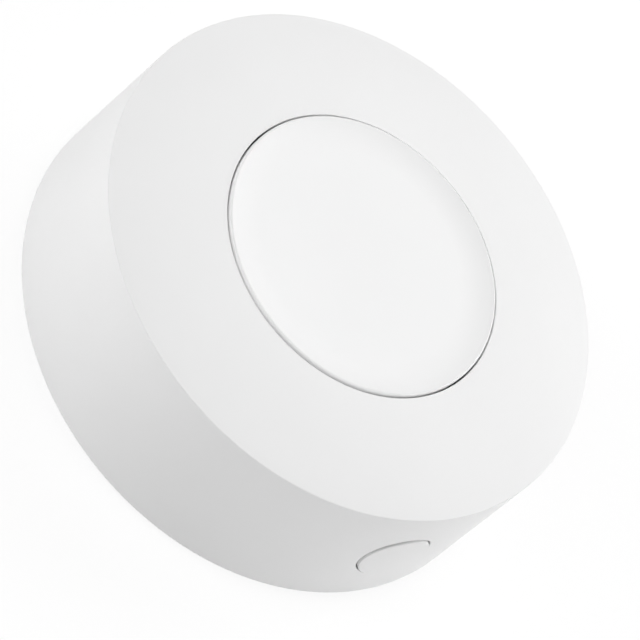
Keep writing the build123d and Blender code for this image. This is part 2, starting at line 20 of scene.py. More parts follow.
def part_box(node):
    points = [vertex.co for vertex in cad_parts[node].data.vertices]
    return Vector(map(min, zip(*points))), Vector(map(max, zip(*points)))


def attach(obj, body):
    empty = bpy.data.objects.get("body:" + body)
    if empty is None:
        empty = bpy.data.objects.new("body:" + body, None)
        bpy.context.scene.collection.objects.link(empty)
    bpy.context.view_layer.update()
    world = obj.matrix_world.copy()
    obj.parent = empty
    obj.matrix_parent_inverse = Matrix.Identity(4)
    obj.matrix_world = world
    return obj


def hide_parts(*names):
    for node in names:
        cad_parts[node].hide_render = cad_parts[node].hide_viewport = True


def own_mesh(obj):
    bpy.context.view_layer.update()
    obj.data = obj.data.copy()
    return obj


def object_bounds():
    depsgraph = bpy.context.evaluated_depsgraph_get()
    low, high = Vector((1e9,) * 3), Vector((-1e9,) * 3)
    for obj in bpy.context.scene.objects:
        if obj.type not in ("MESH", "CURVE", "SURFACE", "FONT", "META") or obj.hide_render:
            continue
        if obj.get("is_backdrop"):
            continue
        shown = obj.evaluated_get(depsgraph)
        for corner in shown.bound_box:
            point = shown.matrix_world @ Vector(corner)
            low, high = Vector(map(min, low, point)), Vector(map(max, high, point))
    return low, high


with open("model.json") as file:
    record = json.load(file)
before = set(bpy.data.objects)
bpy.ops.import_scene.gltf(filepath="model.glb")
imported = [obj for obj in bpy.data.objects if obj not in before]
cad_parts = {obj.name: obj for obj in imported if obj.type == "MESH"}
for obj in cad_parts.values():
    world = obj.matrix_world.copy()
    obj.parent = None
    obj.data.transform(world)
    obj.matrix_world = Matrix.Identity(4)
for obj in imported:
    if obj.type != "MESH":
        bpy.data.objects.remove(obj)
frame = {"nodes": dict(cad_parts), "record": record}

log = logging.getLogger("smart_button")

Triple = tuple[float, float, float]
Socket = bpy.types.NodeSocket

TURN = 2 * math.pi
FULL_CIRCLE = 360.0
COLUMNS = 384
SMALL_COLUMNS = 48
SMOOTH_LIMIT = math.radians(32.0)
NOISE_LOW = 0.3
NOISE_HIGH = 0.7


class Ends(Enum):
    """How a row of rings is closed."""

    LOOP = "the last ring joins the first"
    POLES = "each end closes on one point"


@dataclass(frozen=True)
class Skin:
    """Points and faces of a closed surface."""

    points: np.ndarray
    quads: np.ndarray
    triangles: np.ndarray

    @staticmethod
    def joined(skins: list["Skin"]) -> "Skin":
        """Several surfaces as one.

        Args:
            skins: the surfaces.
        Returns:
            One surface with all their faces.
        """
        starts = np.cumsum([0] + [len(skin.points) for skin in skins[:-1]])
        return Skin(
            np.concatenate([skin.points for skin in skins]),
            np.concatenate([skin.quads + start for skin, start in zip(skins, starts)]),
            np.concatenate([skin.triangles + start for skin, start in zip(skins, starts)]),
        )

    def moved(self, x: float, y: float, z: float = 0.0) -> "Skin":
        """The surface shifted by a step along each axis."""
        return Skin(self.points + np.array([x, y, z]), self.quads, self.triangles)

    def turned(self, angle: float) -> "Skin":
        """The surface turned about the push axis by an angle in radians."""
        cosine, sine = math.cos(angle), math.sin(angle)
        turn = np.array([[cosine, sine, 0.0], [-sine, cosine, 0.0], [0.0, 0.0, 1.0]])
        return Skin(self.points @ turn, self.quads, self.triangles)


def skin_rings(rings: np.ndarray, ends: Ends) -> Skin:
    """Surface through closed rings that follow each other.

    Each quad joins neighbours j and j + 1 of ring i to the same two of ring i + 1.

    Args:
        rings: points, indexed by ring and by place round the ring.
        ends: how the first and last ring are closed.
    Returns:
        The closed surface.
    """
    count, around = rings.shape[:2]
    index = np.arange(count * around).reshape(count, around)
    if ends is Ends.LOOP:
        index = np.vstack([index, index[:1]])
    beside = np.roll(index, -1, axis=1)
    quads = np.stack([index[:-1], beside[:-1], beside[1:], index[1:]], axis=-1).reshape(-1, 4)
    points = rings.reshape(-1, 3)
    if ends is Ends.LOOP:
        return Skin(points, quads, np.zeros((0, 3), int))
    poles = np.stack([rings[0].mean(axis=0), rings[-1].mean(axis=0)])
    first = np.full(around, len(points))
    fans = [
        np.stack([index[0], beside[0], first], axis=-1),
        np.stack([index[-1], beside[-1], first + 1], axis=-1),
    ]
    return Skin(np.vstack([points, poles]), quads, np.concatenate(fans))


def tangent_arc(start: tuple[float, float], slope: float, end: tuple[float, float], count: int) -> np.ndarray:
    """Points on the circle that leaves the start at a slope and passes through the end.

    The centre lies on the normal at the start, and the radius is the chord's square over twice the chord's
    part along that normal.

    Args:
        start: radius and height of the first point.
        slope: angle of the tangent at the start, in radians.
        end: radius and height of the last point.
        count: how many points, both ends included.
    Returns:
        The points, in radius and height.
    """
    begin = np.array(start)
    chord = np.array(end) - begin
    normal = np.array([-math.sin(slope), math.cos(slope)])
    radius = chord @ chord / (2 * chord @ normal)
    centre = begin + radius * normal
    from_centre = begin - centre
    to_end = np.array(end) - centre
    first = math.atan2(from_centre[1], from_centre[0])
    sweep = (math.atan2(to_end[1], to_end[0]) - first + math.pi) % TURN - math.pi
    angles = first + np.linspace(0.0, sweep, count)
    return centre + abs(radius) * np.column_stack([np.cos(angles), np.sin(angles)])


def rounded_path(corners: list[Triple], steps: int = 7, support_share: float = 0.4) -> np.ndarray:
    """Closed path with some corners rounded by arcs.

    A corner of rounding r whose sides make an angle of 2 h starts r / tan(h) before the corner, and its
    centre lies r / sin(h) along the bisector. A point just outside each end keeps the shading crisp.

    Args:
        corners: radius, height and rounding of each point of a closed path.
        steps: pieces in each arc.
        support_share: distance of the outer points, as a share of the rounding.
    Returns:
        The points of the path, in radius and height.
    """
    places = np.array([corner[:2] for corner in corners])
    found = []
    for at, (place, (_, _, rounding)) in enumerate(zip(places, corners)):
        if rounding == 0:
            found.append(place[None])
            continue
        back = places[at - 1] - place
        onward = places[(at + 1) % len(places)] - place
        back = back / np.linalg.norm(back)
        onward = onward / np.linalg.norm(onward)
        half = math.acos(float(np.clip(back @ onward, -1, 1))) / 2
        reach = rounding / math.tan(half)
        bisector = (back + onward) / np.linalg.norm(back + onward)
        centre = place + bisector * rounding / math.sin(half)
        first = (place + back * reach - centre) / rounding
        last = (place + onward * reach - centre) / rounding
        sweep = math.pi - 2 * half
        share = np.linspace(0, 1, steps + 1)[:, None]
        arc = (np.sin((1 - share) * sweep) * first + np.sin(share * sweep) * last) / math.sin(sweep)
        support = reach + rounding * support_share
        found.append((place + back * support)[None])
        found.append(centre + rounding * arc)
        found.append((place + onward * support)[None])
    return np.concatenate(found)


def revolved(profile: np.ndarray, columns: int = COLUMNS) -> np.ndarray:
    """Rings of a profile carried round the push axis: x = r cos a, y = r sin a, z = height.

    Args:
        profile: radius and height of each ring.
        columns: points in each ring, evenly spread from -180 degrees.
    Returns:
        The rings.
    """
    angles = np.linspace(-math.pi, math.pi, columns, endpoint=False)
    radii, heights = profile[:, :1], profile[:, 1:]
    return np.stack([radii * np.cos(angles), radii * np.sin(angles), heights + 0 * angles], axis=-1)


def sector(profile: np.ndarray, start: float, sweep: float, steps: int = 12) -> Skin:
    """Closed block: a closed profile in radius and height, carried about the push axis through a sweep.

    Args:
        profile: radius and height of its corners.
        start: first angle in degrees.
        sweep: angle it is carried through, in degrees.
        steps: pieces along the sweep.
    Returns:
        The closed surface.
    """
    angles = np.radians(start + np.linspace(0, sweep, steps + 1))[:, None]
    radii, heights = profile[:, 0], profile[:, 1]
    sections = np.stack([radii * np.cos(angles), radii * np.sin(angles), heights + 0 * angles], axis=-1)
    return skin_rings(sections, Ends.POLES)


def oblong(inner: float, outer: float, bottom: float, top: float) -> np.ndarray:
    """Corners of an upright rectangle in radius and height."""
    return np.array([(inner, bottom), (outer, bottom), (outer, top), (inner, top)])


def block(low: Triple, high: Triple) -> Skin:
    """Closed box between two corners."""
    square = np.array([(low[0], low[1]), (high[0], low[1]), (high[0], high[1]), (low[0], high[1])])
    floor, roof = (np.column_stack([square, np.full(4, level)]) for level in (low[2], high[2]))
    return skin_rings(np.stack([floor, roof]), Ends.POLES)


def spread(count: int, first: float) -> list[float]:
    """Angles in degrees of evenly spread copies."""
    return [first + FULL_CIRCLE * turn / count for turn in range(count)]


class Graph:
    """Short way to add and join the nodes of a material."""

    def __init__(self, name: str) -> None:
        """Start a material that has only its output and its coordinates."""
        self.material = bpy.data.materials.new(name)
        self.material.use_nodes = True
        self.tree = self.material.node_tree
        self.tree.nodes.clear()
        self.output = self.add("ShaderNodeOutputMaterial")
        self.place = self.add("ShaderNodeTexCoord").outputs["Object"]

    def add(self, kind: str, **settings: object) -> bpy.types.Node:
        """Add a node and set its properties."""
        node = self.tree.nodes.new(kind)
        for key, value in settings.items():
            setattr(node, key, value)
        return node

    def join(self, source: Socket, target: Socket) -> None:
        """Link two sockets."""
        self.tree.links.new(source, target)

    def noise(self, size: float, detail: float = 2.0) -> Socket:
        """Value of a noise whose grains are about a size in metres."""
        node = self.add("ShaderNodeTexNoise")
        node.inputs["Scale"].default_value = 1 / size
        node.inputs["Detail"].default_value = detail
        self.join(self.place, node.inputs["Vector"])
        return node.outputs["Fac"]

    def between(self, value: Socket, first: Triple, second: Triple) -> Socket:
        """Colour that goes from the first to the second over the band where a noise mostly lies."""
        ramp = self.add("ShaderNodeValToRGB")
        ramp.color_ramp.elements[0].position = NOISE_LOW
        ramp.color_ramp.elements[0].color = (*first, 1.0)
        ramp.color_ramp.elements[1].position = NOISE_HIGH
        ramp.color_ramp.elements[1].color = (*second, 1.0)
        self.join(value, ramp.inputs["Fac"])
        return ramp.outputs["Color"]


class SurfaceGraph(Graph):
    """Material with one surface shader, and ways to drive its sockets."""

    def __init__(self, name: str) -> None:
        """Start with the shader joined to the output."""
        super().__init__(name)
        self.shader = self.add("ShaderNodeBsdfPrincipled")
        self.join(self.shader.outputs["BSDF"], self.output.inputs["Surface"])

    def polish(self, value: Socket, low: float, high: float) -> None:
        """Roughness that goes from low to high over the band where a noise mostly lies."""
        node = self.add("ShaderNodeMapRange")
        node.inputs["From Min"].default_value = NOISE_LOW
        node.inputs["From Max"].default_value = NOISE_HIGH
        node.inputs["To Min"].default_value = low
        node.inputs["To Max"].default_value = high
        self.join(value, node.inputs["Value"])
        self.join(node.outputs["Result"], self.shader.inputs["Roughness"])

    def paint(self, value: Socket, first: Triple, second: Triple) -> None:
        """Base colour that goes from the first to the second with a value."""
        self.join(self.between(value, first, second), self.shader.inputs["Base Color"])

    def relief(self, value: Socket, depth: float) -> None:
        """Raise the surface by a value times a depth in metres, in its shading."""
        node = self.add("ShaderNodeBump")
        node.inputs["Distance"].default_value = depth
        node.inputs["Strength"].default_value = 1.0
        self.join(value, node.inputs["Height"])
        self.join(node.outputs["Normal"], self.shader.inputs["Normal"])

    def settle(self, **values: object) -> None:
        """Set sockets of the surface shader, named with _ in place of spaces."""
        for key, value in values.items():
            self.shader.inputs[key.replace("_", " ")].default_value = value


def scaled(colour: Triple, share: float) -> Triple:
    """A colour with each part times a share."""
    return tuple(part * share for part in colour)


@dataclass(frozen=True)
class Finish(ABC):
    """A material by name and colour. Each kind of finish fills its graph."""

    name: str
    colour: Triple

    @abstractmethod
    def fill(self, graph: SurfaceGraph) -> None:
        """Join the nodes."""

    def build(self) -> bpy.types.Material:
        """Make the material."""
        graph = SurfaceGraph(self.name)
        self.fill(graph)
        return graph.material


@dataclass(frozen=True)
class PlasticFinish(Finish):
    """Moulded plastic: fine spark-eroded grain over a broad, faint flow of tone."""

    roughness: float = 0.5
    roughness_swing: float = 0.05
    specular: float = 0.22
    grain_size: float = 0.00016
    grain_depth: float = 0.0000022
    tone_size: float = 0.009
    tone_detail: float = 3.0
    tone_drift: float = 0.985

    def fill(self, graph: SurfaceGraph) -> None:
        """Join the nodes."""
        tone = graph.noise(self.tone_size, self.tone_detail)
        grain = graph.noise(self.grain_size)
        graph.paint(tone, scaled(self.colour, self.tone_drift), self.colour)
        graph.polish(grain, self.roughness - self.roughness_swing, self.roughness + self.roughness_swing)
        graph.relief(grain, self.grain_depth)
        graph.settle(Specular_IOR_Level=self.specular)


@dataclass(frozen=True)
class FoamFinish(Finish):
    """Foam tape and foam pads: cells as small dents under a dry surface."""

    cell_size: float = 0.00035
    cell_depth: float = 0.00004
    cloud_size: float = 0.004
    cloud_share: float = 0.9
    cloud_detail: float = 4.0
    roughness: float = 0.95
    specular: float = 0.2

    def fill(self, graph: SurfaceGraph) -> None:
        """Join the nodes."""
        cells = graph.add("ShaderNodeTexVoronoi")
        cells.inputs["Scale"].default_value = 1 / self.cell_size
        graph.join(graph.place, cells.inputs["Vector"])
        cloud = graph.noise(self.cloud_size, self.cloud_detail)
        graph.paint(cloud, scaled(self.colour, self.cloud_share), self.colour)
        graph.relief(cells.outputs["Distance"], self.cell_depth)
        graph.settle(Roughness=self.roughness, Specular_IOR_Level=self.specular)


@dataclass(frozen=True)
class RubberFinish(Finish):
    """Silicone and rubber: soft sheen with faint dust and mould marks."""

    roughness: float = 0.6
    roughness_swing: float = 0.08
    sheen: float = 0.15
    dust_size: float = 0.0012
    dust_share: float = 1.12
    dust_detail: float = 5.0
    dust_depth: float = 0.000004

    def fill(self, graph: SurfaceGraph) -> None:
        """Join the nodes."""
        dust = graph.noise(self.dust_size, self.dust_detail)
        graph.paint(dust, self.colour, scaled(self.colour, self.dust_share))
        graph.polish(dust, self.roughness - self.roughness_swing, self.roughness + self.roughness_swing)
        graph.relief(dust, self.dust_depth)
        graph.settle(Sheen_Weight=self.sheen)


@dataclass(frozen=True)
class MetalFinish(Finish):
    """Plated sheet metal: rolling lines along X and small tarnish clouds."""

    roughness: float = 0.3
    smoother: float = 0.08
    rougher: float = 0.1
    line_scale: float = 400.0
    line_stretch: float = 40.0
    line_depth: float = 0.0000015
    cloud_size: float = 0.003
    cloud_share: float = 0.88
    cloud_detail: float = 4.0

    def fill(self, graph: SurfaceGraph) -> None:
        """Join the nodes."""
        mapping = graph.add("ShaderNodeMapping")
        mapping.inputs["Scale"].default_value = (1.0, self.line_stretch, self.line_stretch)
        graph.join(graph.place, mapping.inputs["Vector"])
        lines = graph.add("ShaderNodeTexNoise")
        lines.inputs["Scale"].default_value = self.line_scale
        graph.join(mapping.outputs["Vector"], lines.inputs["Vector"])
        cloud = graph.noise(self.cloud_size, self.cloud_detail)
        graph.paint(cloud, scaled(self.colour, self.cloud_share), self.colour)
        graph.polish(lines.outputs["Fac"], self.roughness - self.smoother, self.roughness + self.rougher)
        graph.relief(lines.outputs["Fac"], self.line_depth)
        graph.settle(Metallic=1.0)


@dataclass(frozen=True)
class BoardFinish(Finish):
    """Glass-fibre board under solder mask: a fine weave shows through the green."""

    thread: float = 0.0004
    thread_share: float = 0.86
    mask_size: float = 0.002
    mask_depth: float = 0.00001
    mask_detail: float = 3.0
    smooth: float = 0.28
    rough: float = 0.4

    def fill(self, graph: SurfaceGraph) -> None:
        """Join the nodes."""
        weave = graph.add("ShaderNodeTexChecker")
        weave.inputs["Scale"].default_value = 1 / self.thread
        weave.inputs["Color1"].default_value = (*self.colour, 1.0)
        weave.inputs["Color2"].default_value = (*scaled(self.colour, self.thread_share), 1.0)
        graph.join(graph.place, weave.inputs["Vector"])
        mask = graph.noise(self.mask_size, self.mask_detail)
        graph.join(weave.outputs["Color"], graph.shader.inputs["Base Color"])
        graph.polish(mask, self.smooth, self.rough)
        graph.relief(mask, self.mask_depth)


SHELL_WHITE = (0.885, 0.885, 0.885)


@dataclass(frozen=True)
class Palette:
    """Finish of each material slot."""

    shell: Finish = PlasticFinish("shell_white", SHELL_WHITE)
    cap: Finish = PlasticFinish("cap_white", (0.915, 0.915, 0.915), roughness=0.48)
    key: Finish = PlasticFinish("key_white", SHELL_WHITE)
    plate: Finish = PlasticFinish("plate_white", (0.84, 0.84, 0.835), roughness=0.55)
    frame_plastic: Finish = PlasticFinish("frame_grey", (0.52, 0.53, 0.54), roughness=0.55)
    black_plastic: Finish = PlasticFinish("black_plastic", (0.025, 0.025, 0.026), roughness=0.42)
    ceramic: Finish = PlasticFinish("ceramic", (0.5, 0.36, 0.22), roughness=0.6, grain_depth=0.000006)
    lamp: Finish = PlasticFinish("lamp_resin", (0.88, 0.85, 0.66), roughness=0.2)
    tape: Finish = FoamFinish("foam_tape", (0.79, 0.79, 0.77))
    foam: Finish = FoamFinish("black_foam", (0.05, 0.05, 0.055))
    seal_rubber: Finish = RubberFinish("black_rubber", (0.03, 0.03, 0.03))
    silicone: Finish = RubberFinish("silicone", (0.75, 0.75, 0.73), roughness=0.5)
    steel: Finish = MetalFinish("nickel_steel", (0.66, 0.66, 0.67))
    spring_metal: Finish = MetalFinish("spring_bronze", (0.78, 0.62, 0.38), roughness=0.35)
    copper: Finish = MetalFinish("gold_copper", (0.85, 0.55, 0.26), roughness=0.28)
    board: Finish = BoardFinish("green_board", (0.02, 0.16, 0.07))

    def materials(self) -> dict[str, bpy.types.Material]:
        """Every slot's material, by the slot's name."""
        return {slot: finish.build() for slot, finish in vars(self).items()}


class Workshop:
    """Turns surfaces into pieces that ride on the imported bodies."""

    def __init__(self, materials: dict[str, bpy.types.Material]) -> None:
        """Keep the materials and which body and slot each node has."""
        self.materials = materials
        self.body_of = {
            node: body for body, nodes in frame["record"]["behaviour"]["bodies"].items() for node in nodes
        }
        self.slot_of = {row["node"]: row["material_slot"] for row in frame["record"]["subparts"]}
        self.replaced: set[str] = set()

    def piece(self, name: str, skin: Skin, node: str) -> bpy.types.Object:
        """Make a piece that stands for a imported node.

        Args:
            name: the piece's name.
            skin: its surface.
            node: the node that it replaces, and whose body and slot it takes.
        Returns:
            The new object.
        """
        mesh = bpy.data.meshes.new(name)
        mesh.from_pydata(skin.points.tolist(), [], skin.quads.tolist() + skin.triangles.tolist())
        shape = bmesh.new()
        shape.from_mesh(mesh)
        bmesh.ops.recalc_face_normals(shape, faces=shape.faces)
        shape.to_mesh(mesh)
        shape.free()
        mesh.shade_smooth()
        mesh.set_sharp_from_angle(angle=SMOOTH_LIMIT)
        piece = bpy.data.objects.new(name, mesh)
        bpy.context.scene.collection.objects.link(piece)
        slot = self.slot_of[node]
        mesh.materials.append(self.materials[slot])
        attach(piece, self.body_of[node])
        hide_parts(node)
        self.replaced.add(node)
        log.info("%s stands for %s: %d faces", name, node, len(mesh.polygons))
        return piece

    def dress_nodes(self) -> None:
        """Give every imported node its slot's material."""
        for node, thing in frame["nodes"].items():
            thing.data.materials.clear()
            thing.data.materials.append(self.materials[self.slot_of[node]])
            if node not in self.replaced:
                log.info("%s keeps its packed solid", node)

    def soften_nodes(self) -> None:
        """Give each soft node of the joints a mesh of its own; its axis and fixed end are worked out but not
        used.
        """
        for joint in frame["record"]["behaviour"]["joints"]:
            for soft in joint.get("deforming_nodes", []):
                letter = soft["mode"][-1]
                along = "xyz".index(letter)
                axis, anchor = Vector(), Vector()
                axis[along], anchor[along] = 1.0, soft[f"fixed_end_{letter}_m"]
                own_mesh(frame["nodes"][soft["node"]])


@dataclass
class Heights:
    """Heights and radii that several pieces share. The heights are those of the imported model."""

    rear: float = field(init=False)
    board_front: float = field(init=False)
    rim_top: float = field(init=False)
    body_radius: float = 0.02
    cap_radius: float = 0.01098
    lock_count: int = 3
    first_lock: float = 90.0

    def __post_init__(self) -> None:
        """Read the heights from the boxes of the nodes."""
        self.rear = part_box("base_plate")[0].z
        self.board_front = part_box("circuit_board")[1].z
        self.rim_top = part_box("button_cap")[1].z

    def lock_angles(self) -> list[float]:
        """Angles in degrees of the lugs, their keepers and the screw bosses."""
        return spread(self.lock_count, self.first_lock)


@dataclass
class Housing:
    """Moulded shell: domed bezel, leaning wall with the key's hole, guide collar, bosses and keepers."""

    heights: Heights
    wall_height: float = 0.01232
    wall_lean: float = 0.0001
    crown_rise: float = 0.00128
    crown_slope: float = math.radians(-3.2)
    wall_thickness: float = 0.0016
    roof_thickness: float = 0.0016
    cap_gap: float = 0.00013
    collar_thickness: float = 0.0013
    collar_bottom: float = 0.0109
    bezel_round: float = 0.00006
    crease_round: float = 0.0001
    rear_round: float = 0.0003
    inner_round: float = 0.00012
    roof_round: float = 0.001
    key_radius: float = 0.00262
    key_gap: float = 0.00013
    key_level: float = 0.00656
    lip_round: float = 0.00006
    patch_half_height: float = 0.00345
    patch_half_columns: int = 13
    patch_rows: int = 26
    crown_margin: float = 0.0004
    crown_points: int = 64
    plain_rows: int = 8
    blend_rings: int = 10
    lip_rings: int = 4
    bore_rings: int = 3
    barrel_shares: Triple = (0.15, 0.5, 1.0)
    boss_centre: float = 0.015425
    boss_radius: float = 0.0018
    pilot_radius: float = 0.00085
    pilot_depth: float = 0.0025
    rib_half: float = 0.00045
    rib_setback: float = 0.0006
    keeper_inner: float = 0.0174
    keeper_low: float = 0.00295
    keeper_high: float = 0.00375
    keeper_start: float = -11.0
    keeper_sweep: float = 20.0
    stop_high: float = 0.0047
    stop_starts: tuple[float, float] = (7.4, -29.0)
    stop_sweep: float = 1.6
    set_in: float = 0.00002

    def __post_init__(self) -> None:
        """Work out the radii and heights that follow from the sizes."""
        self.rear = self.heights.rear
        self.crease = self.rear + self.wall_height
        self.bezel = self.crease + self.crown_rise
        self.radius = self.heights.body_radius
        self.bore = self.radius - self.wall_thickness
        self.crease_radius = self.radius - self.wall_lean
        self.bezel_radius = self.heights.cap_radius + self.cap_gap
        self.collar_radius = self.bezel_radius + self.collar_thickness
        self.roof_outer = self.crease - self.roof_thickness
        self.roof_inner = self.bezel - self.roof_thickness

    def wall_radius(self, height: np.ndarray) -> np.ndarray:
        """Radius of the leaning wall at a height: it shrinks evenly from the rear edge to the crease."""
        return self.radius - self.wall_lean * (height - self.rear) / self.wall_height

    def patch_levels(self) -> np.ndarray:
        """Heights of the rings that the patch round the key's hole needs, from the lowest up."""
        reach = self.patch_half_height
        return self.key_level + np.linspace(-reach, reach, self.patch_rows + 1)

    def profile(self) -> np.ndarray:
        """Closed profile of the shell, in radius and height."""
        crown = tangent_arc(
            (self.bezel_radius, self.bezel),
            self.crown_slope,
            (self.crease_radius, self.crease),
            self.crown_points,
        )
        kept = (crown[:, 0] > self.bezel_radius + self.crown_margin) & (
            crown[:, 0] < self.crease_radius - self.crown_margin
        )
        levels = self.patch_levels()[::-1]
        above = np.linspace(self.crease - self.crown_margin, levels[0], self.plain_rows)[:-1]
        below = np.linspace(levels[-1], self.rear + 2 * self.rear_round, self.plain_rows)[1:]
        wall = np.concatenate([above, levels, below])
        corners = [(self.bezel_radius, self.bezel, self.bezel_round)]
        corners += [(radius, height, 0.0) for radius, height in crown[kept]]
        corners += [(self.crease_radius, self.crease, self.crease_round)]
        corners += [(radius, height, 0.0) for radius, height in zip(self.wall_radius(wall), wall)]
        corners += [(self.radius, self.rear, self.rear_round), (self.bore, self.rear, self.inner_round)]
        corners += [(self.bore, height, 0.0) for height in self.patch_levels()]
        corners += [
            (self.bore, self.roof_outer, self.roof_round),
            (self.collar_radius, self.roof_inner, self.inner_round),
            (self.collar_radius, self.collar_bottom, self.inner_round),
            (self.bezel_radius, self.collar_bottom, self.inner_round),
        ]
        return rounded_path(corners)

    def shell(self) -> Skin:
        """Shell with the round hole for the side key.

        A patch of the wall's grid gives way to rings that change from the patch's edge to the hole's circle.
        The same is done on the bore, and the hole's barrel joins the two.
        """
        profile = self.profile()
        rings = revolved(profile)
        skin = skin_rings(rings, Ends.LOOP)
        count, around = rings.shape[:2]
        centre_column = around // 4
        half = self.patch_half_columns
        columns = np.arange(centre_column - half, centre_column + half + 1)
        levels = self.patch_levels()
        outside = self.rows(profile, self.wall_radius(levels), levels)
        inside = self.rows(profile, np.full(len(levels), self.bore), levels)
        keep = np.ones((count, around), bool)
        for rows in (outside, inside):
            keep[min(rows):max(rows), columns[0]:columns[-1]] = False
        quads = skin.quads.reshape(count, around, 4)[keep]
        outer_loop = self.loop(outside, columns, around)
        inner_loop = self.loop(inside, columns, around)
        hole_rings = self.hole_rings(skin.points[outer_loop], skin.points[inner_loop])
        fresh = len(skin.points) + np.arange(hole_rings.shape[0] * hole_rings.shape[1])
        index = np.vstack([outer_loop, fresh.reshape(hole_rings.shape[:2]), inner_loop])
        beside = np.roll(index, -1, axis=1)
        patch = np.stack([index[:-1], beside[:-1], beside[1:], index[1:]], axis=-1).reshape(-1, 4)
        points = np.vstack([skin.points, hole_rings.reshape(-1, 3)])
        used = np.zeros(len(points), bool)
        faces = np.vstack([quads, patch])
        used[faces] = True
        fresh_index = np.cumsum(used) - 1
        return Skin(points[used], fresh_index[faces], skin.triangles)

    def rows(self, profile: np.ndarray, radii: np.ndarray, levels: np.ndarray) -> np.ndarray:
        """Places in the profile of the points with these radii and heights."""
        wanted = np.column_stack([radii, levels])
        return np.linalg.norm(profile[None] - wanted[:, None], axis=2).argmin(axis=1)

    def loop(self, rows: np.ndarray, columns: np.ndarray, around: int) -> np.ndarray:
        """Point numbers round the edge of a patch, from its lower left corner, anticlockwise from outside."""
        sides = [
            rows[0] * around + columns[:-1],
            rows[:-1] * around + columns[-1],
            rows[-1] * around + columns[:0:-1],
            rows[:0:-1] * around + columns[0],
        ]
        return np.concatenate(sides)

    def hole_rings(self, outer_edge: np.ndarray, inner_edge: np.ndarray) -> np.ndarray:
        """Rings from the wall's patch over the hole's lip and through its barrel to the bore's patch.

        Seen along +Y, a ring is a blend of the patch's edge and a circle. A point's depth is that of the wall
        at its height: y = -sqrt(r^2 - x^2).
        """
        across = outer_edge[:, 0]
        up = outer_edge[:, 2] - self.key_level
        angle = np.arctan2(up, across)
        hole = self.key_radius + self.key_gap
        direction = np.stack([np.cos(angle), np.sin(angle)])
        rings = []
        for share in np.linspace(0, 1, self.blend_rings + 1)[1:]:
            circle = direction * (hole + self.lip_round)
            x = (1 - share) * across + share * circle[0]
            z = self.key_level + (1 - share) * up + share * circle[1]
            rings.append((x, -np.sqrt(self.wall_radius(z) ** 2 - x**2), z))
        for bend in np.linspace(0, math.pi / 2, self.lip_rings + 1)[1:]:
            reach = hole + self.lip_round * (1 - math.sin(bend))
            x, z = direction[0] * reach, self.key_level + direction[1] * reach
            depth = self.lip_round * (1 - math.cos(bend))
            rings.append((x, depth - np.sqrt(self.wall_radius(z) ** 2 - x**2), z))
        x, z = direction[0] * hole, self.key_level + direction[1] * hole
        near, far = rings[-1][1], -np.sqrt(self.bore**2 - x**2)
        for share in self.barrel_shares:
            rings.append((x, (1 - share) * near + share * far, z))
        inner_across = inner_edge[:, 0]
        inner_up = inner_edge[:, 2] - self.key_level
        for share in np.linspace(0, 1, self.bore_rings + 2)[1:-1]:
            x = (1 - share) * direction[0] * hole + share * inner_across
            z = self.key_level + (1 - share) * direction[1] * hole + share * inner_up
            rings.append((x, -np.sqrt(self.bore**2 - x**2), z))
        return np.array(rings).transpose(0, 2, 1)

    def inner_features(self) -> list[Skin]:
        """Screw bosses with pilot holes and ribs, and the keepers and stops of the twist lock."""
        board = self.heights.board_front
        middle = (self.bore + self.radius) / 2
        boss_profile = np.array([
            (self.pilot_radius, board + self.pilot_depth), (self.pilot_radius, board),
            (self.boss_radius, board), (self.boss_radius, self.roof_inner),
        ])
        boss = skin_rings(revolved(boss_profile, SMALL_COLUMNS), Ends.POLES).moved(self.boss_centre, 0)
        rib = block(
            (self.boss_centre + self.pilot_radius, -self.rib_half, board + self.rib_setback),
            (middle, self.rib_half, self.roof_outer + self.roof_thickness / 2),
        )
        keeper = oblong(self.keeper_inner, middle, self.keeper_low, self.keeper_high)
        stop = oblong(self.keeper_inner + self.set_in, middle, self.keeper_low + self.set_in, self.stop_high)
        found = []
        for angle in self.heights.lock_angles():
            found += [boss.turned(math.radians(angle)), rib.turned(math.radians(angle))]
            found.append(sector(keeper, angle + self.keeper_start, self.keeper_sweep))
            found += [sector(stop, angle + start, self.stop_sweep, 2) for start in self.stop_starts]
        return found

    def build(self, workshop: Workshop) -> None:
        """Make the piece."""
        workshop.piece("bezel_and_wall", Skin.joined([self.shell()] + self.inner_features()), "front_housing")


